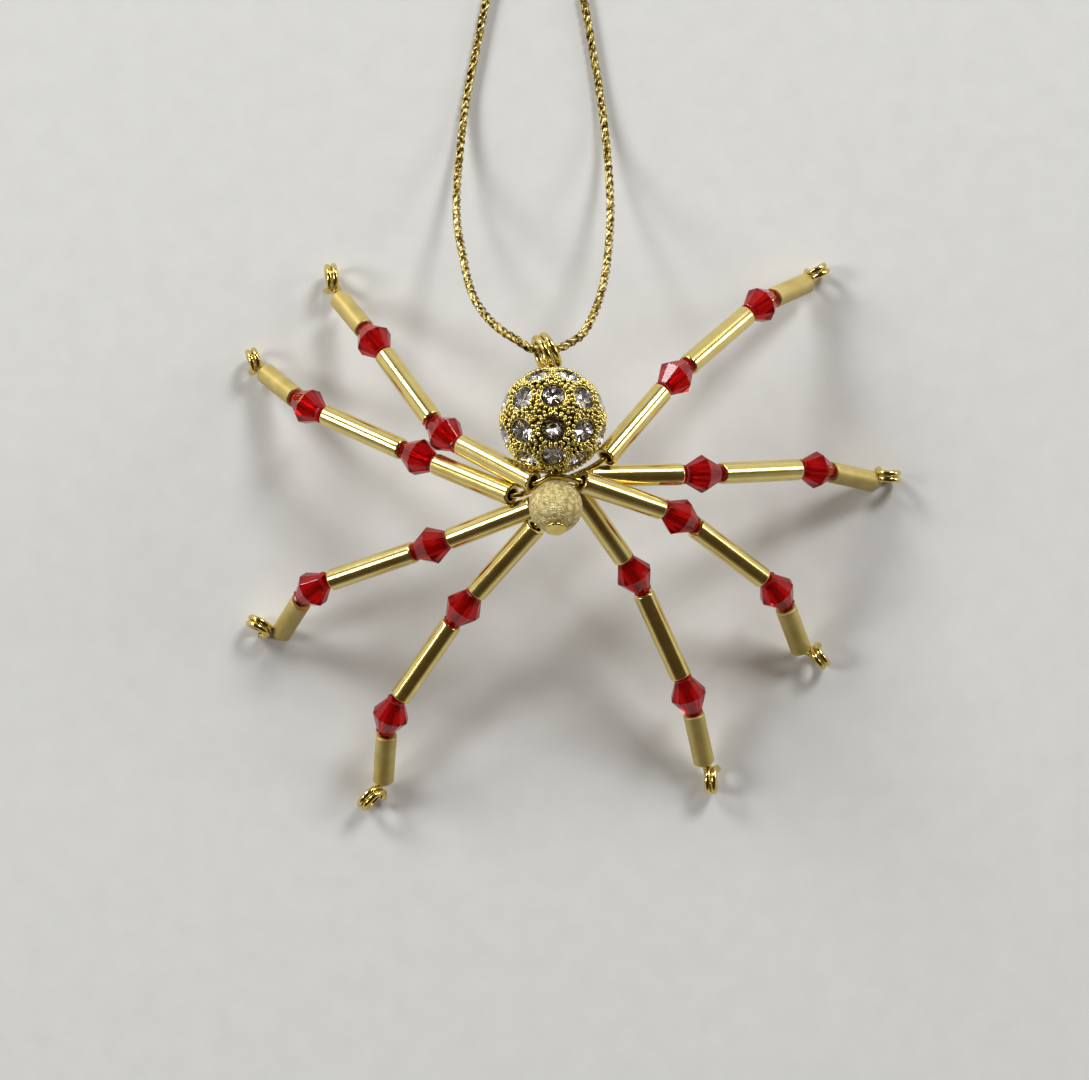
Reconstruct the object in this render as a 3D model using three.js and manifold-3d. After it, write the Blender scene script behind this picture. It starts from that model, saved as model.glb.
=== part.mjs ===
import * as THREE from 'three';
import { mergeVertices } from 'three/addons/utils/BufferGeometryUtils.js';
import Module from 'manifold-3d';

// Beaded spider ornament. It stands on its eight foot loops with its hanging cord laid out behind it.
// Sizes are in millimetres. +Z is up, the head faces -Y and the hanging eye points to +Y.

// Tube beads on the legs
const TUBE_DIAMETER = 2.55;
const TUBE_BORE = 1.5;
const LONG_TUBE_LENGTH = 11.4;
const SHORT_TUBE_LENGTH = 6.8;
const TUBE_SIDES = 8;

// Double cone beads at the knees and ankles
const CONE_DIAMETER = 4.5;
const CONE_LENGTH = 4.8;
const CONE_COLLAR_DIAMETER = 2.3;
const CONE_BORE = 1.5;
const CONE_SIDES = 8;

// Least gap between neighbouring beads, and points in the bend of the wire through a cone
const BEAD_GAP = 0.05;
const BEND_STEPS = 2;

// Body beads, balls with a small flat round each end of the bore
const ABDOMEN_DIAMETER = 12;
const ABDOMEN_BORE = 1.4;
const ABDOMEN_FLAT_DIAMETER = 2.2;
const HEAD_DIAMETER = 6;
const HEAD_BORE = 1.3;
const HEAD_FLAT_DIAMETER = 2.4;
const BALL_RINGS = 8;
const BALL_SIDES = 16;

// Clear stones set in the abdomen in four rows about its axis
const STONE_DIAMETER = 2.7;
const STONE_TABLE_DIAMETER = 1.5;
const STONE_DEPTH = 0.55;
const STONE_SIDES = 6;
const STONE_RISE = 0.25;
const STONE_ROWS = [
  { latitude: 54, count: 6, turn: 30 },
  { latitude: 19, count: 9, turn: 0 },
  { latitude: -19, count: 9, turn: 0 },
  { latitude: -54, count: 6, turn: 0 },
];

// Wires
const LEG_WIRE_DIAMETER = 0.7;
const CORE_WIRE_DIAMETER = 0.8;
const WIRE_SIDES = 6;
const WIRE_GAP = 0.06;
const END_GAP = 0.1;
const LEG_WIRE_RUN_BY_CORE = 0.5;
const LEAVING_HANDLE = 0.1;
const ARRIVING_HANDLE = 0.28;
const APPROACH_STEPS = 4;

// Curled wire ends
const FOOT_LEAN = 14;
const FOOT_TURNS = 2;
const FOOT_PITCH = 0.76;
const EYE_DIAMETER = 4.5;
const EYE_HEADING = 113.5;
const EYE_LEAN = 7;
const EYE_REACH = 2.05;
const EYE_TURNS = 2;
const EYE_PITCH = 0.86;
const STEPS_PER_TURN = 8;
const CURL_HANDLE = 0.45;
const LEAD_STEPS = 3;

// Pin cap in front of the head, a flat disc with a bevelled front face
const CAP_DIAMETER = 2.4;
const CAP_FACE_DIAMETER = 1.44;
const CAP_THICKNESS = 0.3;
const CAP_BEVEL = 0.12;
const CAP_GAP = 0.06;
const CAP_SIDES = 12;

// Place of the crossing wires between head and abdomen
const THORAX = new THREE.Vector3(-2.33, 4.67, 22.2);
const ABDOMEN_FRONT_OFFSET = new THREE.Vector3(-0.15, 0.656, -0.038);
const HEAD_OFFSET = new THREE.Vector3(0.15, -3.25, 1.55);
const ABDOMEN_PITCH = 2.5;
const HEAD_PITCH = 29;

// Where each pair of leg wires crosses the core wire: height above or below it, and forward shift
const CROSSINGS = {
  top: { levels: 1, forward: 0.23 },
  below: { levels: -1, forward: -0.1 },
  lower: { levels: -2, forward: 0 },
  lowest: { levels: -3, forward: -0.3 },
};

// Pose of the legs, clockwise from the rear right one when seen from above.
// Headings are degrees from +X in plan and slopes are degrees below level, from the body outwards.
// The foot loop lies footReach from the last tube, at footBearing, with its plane along footHeading.
const LEGS = [
  {
    name: 'leg_1',
    crossing: 'below',
    side: 1,
    start: [5.8, 2.6, -1.4],
    headings: [50.5, 43, 30],
    slopes: [22, 27.5, 39],
    footReach: 2,
    footBearing: 45,
    footHeading: 33,
    footDiameter: 3,
  },
  {
    name: 'leg_2',
    crossing: 'lower',
    side: 1,
    start: [3.9, 0.56, -2.12],
    headings: [3, 6, -7],
    slopes: [18.5, 30.5, 35.5],
    footReach: 2.1,
    footBearing: 18,
    footHeading: 2,
    footDiameter: 3.3,
  },
  {
    name: 'leg_3',
    crossing: 'top',
    side: 1,
    start: [3, -0.34, 0.93],
    headings: [-15.5, -34, -64.5],
    slopes: [32, 28, 37.5],
    footReach: 2.4,
    footBearing: -22,
    footHeading: -50,
    footDiameter: 3.3,
  },
  {
    name: 'leg_4',
    crossing: 'lowest',
    side: 1,
    start: [2.4, -0.9, -2.2],
    headings: [-52.5, -64.5, -76],
    slopes: [35, 19.5, 26.5],
    footReach: 2.3,
    footBearing: -67,
    footHeading: -88,
    footDiameter: 3.6,
  },
  {
    name: 'leg_5',
    crossing: 'lowest',
    side: -1,
    start: [-2.1, -5.1, -2.4],
    headings: [-133.5, -126, -96.5],
    slopes: [28.5, 21.5, 33.5],
    footReach: 2.5,
    footBearing: -124,
    footHeading: -132,
    footDiameter: 3.7,
  },
  {
    name: 'leg_6',
    crossing: 'below',
    side: -1,
    start: [-2.3, -2.9, -1.53],
    headings: [-161, -163, -129.5],
    slopes: [26.5, 22.5, 46],
    footReach: 2.7,
    footBearing: 162,
    footHeading: 158,
    footDiameter: 3.4,
  },
  {
    name: 'leg_7',
    crossing: 'lower',
    side: -1,
    start: [-4.76, -1.67, -1.42],
    headings: [155, 154, 140],
    slopes: [30.5, 22, 36],
    footReach: 2.1,
    footBearing: 133,
    footHeading: 114,
    footDiameter: 3.3,
  },
  {
    name: 'leg_8',
    crossing: 'top',
    side: -1,
    start: [-2.3, -0.4, 0.36],
    headings: [149.5, 125.5, 128],
    slopes: [31, 25, 34.5],
    footReach: 2.9,
    footBearing: 112,
    footHeading: 100,
    footDiameter: 3.8,
  },
];

// Hanging cord: two strands from the eye to a knot, on the standing surface for most of their way
const CORD_DIAMETER = 1;
const CORD_SIDES = 8;
const CORD_STEP = 2.9;
const CORD_HEADING = 0;
const CORD_OUT_FROM_EYE = 0.4;
const CORD_CLEAR_OF_EYE = 1.46;
const KNOT_DIAMETER = 3.8;
const KNOT_HEIGHT = 3.4;
const KNOT_LENGTH = 4.4;
const KNOT_SIDES = 10;
const KNOT_RINGS = 6;
const LEFT_STRAND = [
  [-6.4, 20.6, 20.9],
  [-8.5, 22.2, 19.3],
  [-10.5, 24.6, 16.8],
  [-12.1, 28, 13.4],
  [-13.2, 32.9, 9.4],
  [-14, 37.4, 6.2],
  [-14.2, 41.9, 3.6],
  [-13.9, 47.7, 1.7],
  [-13.2, 54.3, 0.7],
  [-12.1, 60.1, 0.57],
  [-10.7, 67.1, 0.57],
  [-8, 77.4, 0.57],
  [-6, 85.1, 0.6],
  [-4.7, 90, 1.4],
];
const RIGHT_STRAND = [
  [-0.6, 20.3, 21],
  [0.8, 21.4, 19.9],
  [1.9, 23.4, 18.5],
  [2.9, 26.1, 16.2],
  [3.7, 29.6, 12.8],
  [4.3, 34, 9.2],
  [4.6, 38.5, 6],
  [4.6, 42.8, 3.5],
  [4.3, 48, 1.6],
  [3.6, 54.3, 0.7],
  [2.6, 60.7, 0.57],
  [1.5, 67.1, 0.57],
  [-0.6, 77.4, 0.57],
  [-2.1, 85.1, 0.6],
  [-3.3, 90, 1.4],
];
const KNOT_PLACE = new THREE.Vector3(-4, 92.6, 1.75);
const TAILS = [
  [
    [-4.5, 93.5, 1.2],
    [-5.2, 96.5, 0.57],
    [-6.8, 101.5, 0.57],
  ],
  [
    [-3.4, 93.5, 1.2],
    [-2.6, 96.5, 0.57],
    [-0.9, 100.5, 0.57],
  ],
];

const wasm = await Module();
wasm.setup();

const UP_THE_FORM = new THREE.Vector3(0, 1, 0);

const FINISHES = {
  tube: { color: 0xd9b860, roughness: 0.12, metalness: 0.9 },
  cone: { color: 0x9c0d14, roughness: 0.08, metalness: 0 },
  wire: { color: 0xcba43a, roughness: 0.18, metalness: 1 },
  abdomen: { color: 0xb9972f, roughness: 0.3, metalness: 1 },
  head: { color: 0xc2a75c, roughness: 0.5, metalness: 1 },
  cord: { color: 0xb08d2a, roughness: 0.4, metalness: 0.7 },
};

function direction(heading, slope) {
  const turn = THREE.MathUtils.degToRad(heading);
  const fall = THREE.MathUtils.degToRad(slope);
  return new THREE.Vector3(
    Math.cos(turn) * Math.cos(fall),
    Math.sin(turn) * Math.cos(fall),
    -Math.sin(fall),
  );
}

function along(point, way, distance) {
  return point.clone().addScaledVector(way, distance);
}

function named(name, geometry, finish) {
  const mesh = new THREE.Mesh(geometry, new THREE.MeshStandardMaterial(FINISHES[finish]));
  mesh.name = name;
  return mesh;
}

// A path given by the stations where its cross-section stands
class StationPath extends THREE.Curve {
  constructor(stations) {
    super();
    this.stations = stations;
  }

  getPoint(t, target = new THREE.Vector3()) {
    const last = this.stations.length - 1;
    const index = Math.min(Math.floor(t * last), last - 1);
    return target.lerpVectors(this.stations[index], this.stations[index + 1], t * last - index);
  }

  getPointAt(u, target) {
    return this.getPoint(u, target);
  }

  getTangentAt(u, target = new THREE.Vector3()) {
    const last = this.stations.length - 1;
    const index = Math.round(u * last);
    const here = this.stations[index];
    const before = this.stations[Math.max(index - 1, 0)];
    const after = this.stations[Math.min(index + 1, last)];
    const arriving = here.clone().sub(before).normalize();
    const leaving = after.clone().sub(here).normalize();
    return target.addVectors(arriving, leaving).normalize();
  }
}

function roundOutline(diameter, sides) {
  const points = [];
  for (let side = 0; side < sides; side += 1) {
    const turn = (side / sides) * Math.PI * 2;
    points.push(new THREE.Vector2(Math.cos(turn), Math.sin(turn)).multiplyScalar(diameter / 2));
  }
  return new THREE.Shape(points);
}

function rod(stations, diameter, sides) {
  return new THREE.ExtrudeGeometry(roundOutline(diameter, sides), {
    steps: stations.length - 1,
    extrudePath: new StationPath(stations),
    bevelEnabled: false,
  });
}

// Turns a form's own Y axis to a way and moves it there
function place(geometry, centre, axis) {
  geometry.applyQuaternion(new THREE.Quaternion().setFromUnitVectors(UP_THE_FORM, axis));
  geometry.translate(centre.x, centre.y, centre.z);
  return geometry;
}

// A bead with a bore, turned about its own axis from a closed outline of [radius, height] points
function turnedBead(outline, sides, centre, axis) {
  const closed = [...outline, outline[0]].map(([radius, height]) => new THREE.Vector2(radius, height));
  return place(new THREE.LatheGeometry(closed, sides), centre, axis);
}

function tubeBead(from, way, length) {
  const outline = [
    [TUBE_BORE / 2, 0],
    [TUBE_DIAMETER / 2, 0],
    [TUBE_DIAMETER / 2, length],
    [TUBE_BORE / 2, length],
  ];
  return turnedBead(outline, TUBE_SIDES, from, way);
}

// A cone bead sits at the middle of its bend in the wire, along the bend's chord
function coneBead(stations) {
  const axis = stations.at(-1).clone().sub(stations[0]).normalize();
  const outline = [
    [CONE_BORE / 2, -CONE_LENGTH / 2],
    [CONE_COLLAR_DIAMETER / 2, -CONE_LENGTH / 2],
    [CONE_DIAMETER / 2, 0],
    [CONE_COLLAR_DIAMETER / 2, CONE_LENGTH / 2],
    [CONE_BORE / 2, CONE_LENGTH / 2],
  ];
  return turnedBead(outline, CONE_SIDES, stations[BEND_STEPS / 2], axis);
}

// Distance of a ball's end flats from its centre
function flatHeight(diameter, flat) {
  return (diameter / 2) * Math.cos(Math.asin(flat / diameter));
}

function roundBead(diameter, bore, flat, centre, axis) {
  const radius = diameter / 2;
  const edge = Math.asin(flat / diameter);
  const height = flatHeight(diameter, flat);
  const outline = [[bore / 2, -height]];
  for (let ring = 0; ring <= BALL_RINGS; ring += 1) {
    const turn = edge + (ring / BALL_RINGS) * (Math.PI - 2 * edge);
    outline.push([radius * Math.sin(turn), -radius * Math.cos(turn)]);
  }
  outline.push([bore / 2, height]);
  return turnedBead(outline, BALL_SIDES, centre, axis);
}

function toSolid(geometry) {
  const bare = geometry.clone();
  bare.deleteAttribute('normal');
  bare.deleteAttribute('uv');
  const merged = mergeVertices(bare, 1e-4);
  return new wasm.Manifold(
    new wasm.Mesh({
      numProp: 3,
      vertProperties: new Float32Array(merged.attributes.position.array),
      triVerts: new Uint32Array(merged.index.array),
    }),
  );
}

function toGeometry(solid) {
  const mesh = solid.getMesh();
  const geometry = new THREE.BufferGeometry();
  geometry.setAttribute('position', new THREE.BufferAttribute(new Float32Array(mesh.vertProperties), 3));
  geometry.setIndex(new THREE.BufferAttribute(new Uint32Array(mesh.triVerts), 1));
  return geometry;
}

function joined(parts) {
  return toGeometry(parts.map(toSolid).reduce((whole, part) => whole.add(part)));
}

// Wire stations round a corner, with the middle one at the centre of the cone bead there
function bend(corner, before, after, reach) {
  return new THREE.QuadraticBezierCurve3(
    along(corner, before, -reach),
    corner,
    along(corner, after, reach),
  ).getPoints(BEND_STEPS);
}

// How far a tube ends from a corner, so that its rim clears the cone bead however sharp the corner
function tubeReach(before, after) {
  const halfBend = before.angleTo(after) / 2;
  const rim = (TUBE_DIAMETER / 2) * Math.sin(halfBend);
  return (CONE_LENGTH / 2 + BEAD_GAP + rim) / Math.cos(halfBend);
}

// Stations of a wire that leaves a bore and curls into a flat coil of a few turns
function curl(from, way, centre, heading, lean, radius, turns, pitch) {
  const forward = direction(heading, 0);
  const sideways = direction(heading - 90, 0);
  const tilt = THREE.MathUtils.degToRad(lean);
  const upward = new THREE.Vector3(0, 0, Math.cos(tilt)).addScaledVector(sideways, Math.sin(tilt));
  const axis = new THREE.Vector3().crossVectors(forward, upward);
  const offset = from.clone().sub(centre);
  const distance = Math.hypot(offset.dot(forward), offset.dot(upward));
  const bearing = Math.atan2(offset.dot(upward), offset.dot(forward));
  const first = bearing + Math.acos(Math.min(radius / distance, 1));
  const nearSide = offset.dot(axis) < 0 ? -1 : 1;
  const coil = [];
  for (let step = 0; step <= turns * STEPS_PER_TURN; step += 1) {
    const turn = first + (step / STEPS_PER_TURN) * Math.PI * 2;
    const shift = nearSide * pitch * (turns / 2 - step / STEPS_PER_TURN);
    const point = along(centre, forward, radius * Math.cos(turn));
    point.addScaledVector(upward, radius * Math.sin(turn));
    coil.push(point.addScaledVector(axis, shift));
  }
  const arriving = forward.clone().multiplyScalar(-Math.sin(first));
  arriving.addScaledVector(upward, Math.cos(first));
  const handle = from.distanceTo(coil[0]) * CURL_HANDLE;
  const lead = new THREE.CubicBezierCurve3(
    from,
    along(from, way, handle),
    along(coil[0], arriving, -handle),
    coil[0],
  );
  return [...lead.getPoints(LEAD_STEPS).slice(1, -1), ...coil];
}

const abdomenFront = THORAX.clone().add(ABDOMEN_FRONT_OFFSET);
const abdomenAxis = direction(90, ABDOMEN_PITCH);
const abdomenCentre = along(abdomenFront, abdomenAxis, ABDOMEN_DIAMETER / 2);
const headCentre = THORAX.clone().add(HEAD_OFFSET);
const headAxis = direction(90, HEAD_PITCH);
const abdomenRear = along(abdomenCentre, abdomenAxis, ABDOMEN_DIAMETER / 2);
const eyeCentre = along(abdomenRear, direction(EYE_HEADING, 0), EYE_REACH);

function legParts(leg) {
  const ways = leg.headings.map((heading, index) => direction(heading, leg.slopes[index]));
  const atKnee = tubeReach(ways[0], ways[1]);
  const atAnkle = tubeReach(ways[1], ways[2]);
  const start = THORAX.clone().add(new THREE.Vector3(...leg.start));
  const knee = along(start, ways[0], LONG_TUBE_LENGTH + atKnee);
  const ankle = along(knee, ways[1], atKnee + LONG_TUBE_LENGTH + atAnkle);
  const tip = along(ankle, ways[2], atAnkle + SHORT_TUBE_LENGTH);
  const kneeBend = bend(knee, ways[0], ways[1], atKnee);
  const ankleBend = bend(ankle, ways[1], ways[2], atAnkle);

  const crossing = CROSSINGS[leg.crossing];
  const firstLevel = (CORE_WIRE_DIAMETER + LEG_WIRE_DIAMETER) / 2 + WIRE_GAP;
  const furtherLevels = (Math.abs(crossing.levels) - 1) * (LEG_WIRE_DIAMETER + WIRE_GAP);
  const height = Math.sign(crossing.levels) * (firstLevel + furtherLevels);
  const middle = THORAX.clone().add(new THREE.Vector3(0, crossing.forward, height));
  const outward = new THREE.Vector3(leg.side, 0, 0);
  const inner = along(middle, outward, END_GAP / 2);
  const turning = along(middle, outward, LEG_WIRE_RUN_BY_CORE);
  const distance = turning.distanceTo(start);
  const approach = new THREE.CubicBezierCurve3(
    turning,
    along(turning, outward, distance * LEAVING_HANDLE),
    along(start, ways[0], -distance * ARRIVING_HANDLE),
    start,
  );

  const footRadius = (leg.footDiameter - LEG_WIRE_DIAMETER) / 2;
  const foot = along(tip, direction(leg.footBearing, 0), leg.footReach);
  foot.z = leg.footDiameter / 2;
  const loop = curl(
    tip,
    ways[2],
    foot,
    leg.footHeading,
    FOOT_LEAN,
    footRadius,
    FOOT_TURNS,
    FOOT_PITCH,
  );
  const lowest = Math.min(...loop.map((station) => station.z));
  const rise = new THREE.Vector3(0, 0, LEG_WIRE_DIAMETER / 2 - lowest);
  const settled = loop.map((station) => station.clone().add(rise));

  const approached = approach.getPoints(APPROACH_STEPS);
  const wire = [inner, ...approached, ...kneeBend, ...ankleBend, tip, ...settled];
  return [
    named(`${leg.name}_wire`, rod(wire, LEG_WIRE_DIAMETER, WIRE_SIDES), 'wire'),
    named(`${leg.name}_inner_tube`, tubeBead(start, ways[0], LONG_TUBE_LENGTH), 'tube'),
    named(`${leg.name}_knee_bead`, coneBead(kneeBend), 'cone'),
    named(`${leg.name}_middle_tube`, tubeBead(kneeBend.at(-1), ways[1], LONG_TUBE_LENGTH), 'tube'),
    named(`${leg.name}_ankle_bead`, coneBead(ankleBend), 'cone'),
    named(`${leg.name}_tip_tube`, tubeBead(ankleBend.at(-1), ways[2], SHORT_TUBE_LENGTH), 'tube'),
  ];
}

function abdomenBead() {
  const shell = roundBead(
    ABDOMEN_DIAMETER - 2 * STONE_RISE,
    ABDOMEN_BORE,
    ABDOMEN_FLAT_DIAMETER,
    abdomenCentre,
    abdomenAxis,
  );
  const toAxis = new THREE.Quaternion().setFromUnitVectors(UP_THE_FORM, abdomenAxis);
  const stones = [];
  for (const row of STONE_ROWS) {
    for (let index = 0; index < row.count; index += 1) {
      const turn = row.turn + (index / row.count) * 360;
      const outward = direction(90 - turn, -row.latitude);
      const facing = new THREE.Vector3(outward.x, outward.z, outward.y).applyQuaternion(toAxis);
      const crown = new THREE.CylinderGeometry(
        STONE_TABLE_DIAMETER / 2,
        STONE_DIAMETER / 2,
        STONE_DEPTH,
        STONE_SIDES,
      );
      const middle = along(abdomenCentre, facing, (ABDOMEN_DIAMETER - STONE_DEPTH) / 2);
      stones.push(place(crown, middle, facing));
    }
  }
  return joined([shell, ...stones]);
}

function headBead() {
  return roundBead(HEAD_DIAMETER, HEAD_BORE, HEAD_FLAT_DIAMETER, headCentre, headAxis);
}

function coreWire() {
  const headFlat = flatHeight(HEAD_DIAMETER, HEAD_FLAT_DIAMETER);
  const headFront = along(headCentre, headAxis, -headFlat - CAP_GAP - CAP_THICKNESS / 2);
  const headRear = along(headCentre, headAxis, HEAD_DIAMETER / 2);
  const eyeRadius = (EYE_DIAMETER - CORE_WIRE_DIAMETER) / 2;
  const eye = curl(
    abdomenRear,
    abdomenAxis,
    eyeCentre,
    EYE_HEADING,
    EYE_LEAN,
    eyeRadius,
    EYE_TURNS,
    EYE_PITCH,
  );
  const path = [headFront, headRear, abdomenFront, abdomenRear, ...eye];
  const half = CAP_THICKNESS / 2;
  const capOutline = [
    [0, -half],
    [CAP_FACE_DIAMETER / 2, -half],
    [CAP_DIAMETER / 2, CAP_BEVEL - half],
    [CAP_DIAMETER / 2, half],
    [0, half],
  ];
  const capPoints = capOutline.map(([radius, height]) => new THREE.Vector2(radius, height));
  const cap = place(new THREE.LatheGeometry(capPoints, CAP_SIDES), headFront, headAxis);
  return joined([rod(path, CORE_WIRE_DIAMETER, WIRE_SIDES), cap]);
}

function cordStations(points) {
  const curve = new THREE.CatmullRomCurve3(
    points.map((point) => new THREE.Vector3(...point)),
    false,
    'centripetal',
  );
  return curve.getSpacedPoints(Math.round(curve.getLength() / CORD_STEP));
}

// A strand starts inside the eye and comes out beside it
function cordStrand(side, route) {
  const through = along(eyeCentre, direction(EYE_HEADING, 0), CORD_OUT_FROM_EYE);
  const crosswise = direction(CORD_HEADING, 0);
  const first = along(through, crosswise, (side * END_GAP) / 2);
  const second = along(through, crosswise, side * CORD_CLEAR_OF_EYE);
  const stations = cordStations([second.toArray(), ...route]);
  return rod([first, ...stations], CORD_DIAMETER, CORD_SIDES);
}

function knot() {
  const body = new THREE.SphereGeometry(1, KNOT_SIDES, KNOT_RINGS);
  body.scale(KNOT_DIAMETER / 2, KNOT_LENGTH / 2, KNOT_HEIGHT / 2);
  body.translate(KNOT_PLACE.x, KNOT_PLACE.y, KNOT_PLACE.z);
  const tails = TAILS.map((route) => rod(cordStations(route), CORD_DIAMETER, CORD_SIDES));
  return joined([body, ...tails]);
}

const spider = new THREE.Group();
spider.name = 'beaded_spider_ornament';
for (const leg of LEGS) {
  spider.add(...legParts(leg));
}
spider.add(named('abdomen_bead', abdomenBead(), 'abdomen'));
spider.add(named('head_bead', headBead(), 'head'));
spider.add(named('core_wire', coreWire(), 'wire'));
spider.add(named('cord_left', cordStrand(-1, LEFT_STRAND), 'cord'));
spider.add(named('cord_right', cordStrand(1, RIGHT_STRAND), 'cord'));
spider.add(named('cord_knot', knot(), 'cord'));

export default spider;
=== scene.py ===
import math

import bmesh
import bpy
from mathutils import Matrix, Vector
from mathutils.geometry import interpolate_bezier


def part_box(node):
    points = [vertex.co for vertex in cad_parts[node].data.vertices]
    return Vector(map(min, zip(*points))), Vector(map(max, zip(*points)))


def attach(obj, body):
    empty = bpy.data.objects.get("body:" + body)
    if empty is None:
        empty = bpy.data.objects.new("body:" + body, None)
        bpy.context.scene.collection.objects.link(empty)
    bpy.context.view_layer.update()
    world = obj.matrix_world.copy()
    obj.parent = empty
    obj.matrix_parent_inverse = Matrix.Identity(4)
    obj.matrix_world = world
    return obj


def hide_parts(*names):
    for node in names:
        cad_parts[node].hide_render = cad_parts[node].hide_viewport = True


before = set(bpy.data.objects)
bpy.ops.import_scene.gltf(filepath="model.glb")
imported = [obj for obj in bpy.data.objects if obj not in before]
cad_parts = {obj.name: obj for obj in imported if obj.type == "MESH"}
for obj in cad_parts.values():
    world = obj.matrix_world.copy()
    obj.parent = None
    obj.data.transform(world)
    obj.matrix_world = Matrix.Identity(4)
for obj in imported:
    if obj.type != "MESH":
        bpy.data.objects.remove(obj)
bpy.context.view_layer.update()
scene = bpy.context.scene
scene.view_settings.view_transform = "Standard"

print("camera")

cameraView = {
    "place": (-0.00343, -0.01807, 0.24939),
    "tiltDegrees": 4,
    "lens": 67.08,
    "sensorWidth": 36,
}


def makeCamera(view):
    data = bpy.data.cameras.new("pictureCamera")
    data.lens = view["lens"]
    data.sensor_width = view["sensorWidth"]
    data.clip_start = 0.01
    camera = bpy.data.objects.new("pictureCamera", data)
    camera.location = view["place"]
    camera.rotation_euler = (math.radians(view["tiltDegrees"]), 0, 0)
    scene.collection.objects.link(camera)
    scene.camera = camera


makeCamera(cameraView)


# Small helpers for shader and geometry node trees

def addNode(tree, kind, **settings):
    node = tree.nodes.new(kind)
    for name, value in settings.items():
        setattr(node, name, value)
    return node


def plug(tree, source, target):
    tree.links.new(source, target)


def startMaterial(name):
    material = bpy.data.materials.new(name)
    material.use_nodes = True
    tree = material.node_tree
    tree.nodes.clear()
    shader = addNode(tree, "ShaderNodeBsdfPrincipled")
    output = addNode(tree, "ShaderNodeOutputMaterial")
    plug(tree, shader.outputs["BSDF"], output.inputs["Surface"])
    return material, tree, shader


def setSockets(node, **values):
    for name, value in values.items():
        node.inputs[name.replace("_", " ")].default_value = value


def objectPoint(tree):
    return addNode(tree, "ShaderNodeTexCoord").outputs["Object"]


def noiseField(tree, scale, detail=2.0, roughness=0.5):
    noise = addNode(tree, "ShaderNodeTexNoise")
    setSockets(noise, Scale=scale, Detail=detail, Roughness=roughness)
    plug(tree, objectPoint(tree), noise.inputs["Vector"])
    return noise.outputs["Fac"]


def ramp(tree, value, stops):
    node = addNode(tree, "ShaderNodeValToRGB")
    while len(node.color_ramp.elements) < len(stops):
        node.color_ramp.elements.new(0.5)
    for element, (position, color) in zip(node.color_ramp.elements, stops):
        element.position = position
        element.color = (*color, 1)
    plug(tree, value, node.inputs["Fac"])
    return node.outputs["Color"]


def between(tree, value, low, high):
    node = addNode(tree, "ShaderNodeMapRange")
    setSockets(node, To_Min=low, To_Max=high)
    plug(tree, value, node.inputs["Value"])
    return node.outputs["Result"]


def bump(tree, shader, height, strength, distance):
    node = addNode(tree, "ShaderNodeBump")
    setSockets(node, Strength=strength, Distance=distance)
    plug(tree, height, node.inputs["Height"])
    plug(tree, node.outputs["Normal"], shader.inputs["Normal"])


print("materials")

cordFinishAndShade = {
    "colors": [
        # painted shade: the near-black flecks stand in for the shade in the gaps between the plies;
        # the other stops are random tones of the gold
        (0.40, (0.05, 0.025, 0.003)),
        (0.51, (0.42, 0.30, 0.06)),
        (0.62, (0.98, 0.84, 0.42)),
    ],
    "roughness": (0.16, 0.45),
    "flecksPerMetre": 2000,
    "relief": 0.00012,
}


def makeCordMaterial(finish):
    material, tree, shader = startMaterial("metallicCordWithShade")
    # random flecks that carry the painted shade of the gaps as well as the gold's own tones
    flecksAndShade = noiseField(tree, finish["flecksPerMetre"], 2.5, 0.6)
    plug(tree, ramp(tree, flecksAndShade, finish["colors"]), shader.inputs["Base Color"])
    plug(tree, between(tree, flecksAndShade, *finish["roughness"]), shader.inputs["Roughness"])
    setSockets(shader, Metallic=0.85)
    bump(tree, shader, flecksAndShade, 0.8, finish["relief"])
    return material


wireFinish = {
    "colors": [(0.35, (0.66, 0.50, 0.13)), (0.7, (0.82, 0.66, 0.24))],
    "roughness": (0.1, 0.24),
    "wearPerMetre": 900,
    "relief": 0.00005,
}


def makeWireMaterial(finish):
    material, tree, shader = startMaterial("goldWire")
    wear = noiseField(tree, finish["wearPerMetre"], 3, 0.6)
    plug(tree, ramp(tree, wear, finish["colors"]), shader.inputs["Base Color"])
    plug(tree, between(tree, wear, *finish["roughness"]), shader.inputs["Roughness"])
    setSockets(shader, Metallic=1)
    bump(tree, shader, wear, 0.12, finish["relief"])
    return material


longTubeFinish = {
    "name": "linedGlassTube",
    "colors": [(0.3, (0.78, 0.61, 0.19)), (0.7, (0.86, 0.70, 0.27))],
    "roughness": (0.15, 0.22),
    "metallic": 0.95,
    "coat": 0.25,
}
# painted shade: the tip tubes are given a darker copy of the long tubes' gold, to tone down how
# brightly they catch the light
tipTubeShadedFinish = {
    "name": "satinGlassTube",
    "colors": [(0.3, (0.52, 0.39, 0.11)), (0.7, (0.63, 0.49, 0.17))],
    "roughness": (0.42, 0.5),
    "metallic": 0.5,
    "coat": 0.15,
}


def makeTubeMaterial(finish):
    material, tree, shader = startMaterial(finish["name"])
    cloud = noiseField(tree, 500)
    plug(tree, ramp(tree, cloud, finish["colors"]), shader.inputs["Base Color"])
    plug(tree, between(tree, cloud, *finish["roughness"]), shader.inputs["Roughness"])
    setSockets(
        shader, Metallic=finish["metallic"], Coat_Weight=finish["coat"], Coat_Roughness=0.04
    )
    return material


redFinish = {
    "colors": [(0.35, (0.54, 0.005, 0.006)), (0.7, (0.70, 0.011, 0.012))],
    "transmission": 0.8,
    "ior": 1.45,
    "specular": 0.24,
    "roughness": (0.02, 0.09),
}


def makeRedMaterial(finish):
    material, tree, shader = startMaterial("redAcrylic")
    cloud = noiseField(tree, 420)
    plug(tree, ramp(tree, cloud, finish["colors"]), shader.inputs["Base Color"])
    plug(tree, between(tree, cloud, *finish["roughness"]), shader.inputs["Roughness"])
    setSockets(shader, Transmission_Weight=finish["transmission"], IOR=finish["ior"])
    setSockets(shader, Specular_IOR_Level=finish["specular"])
    return material


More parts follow.
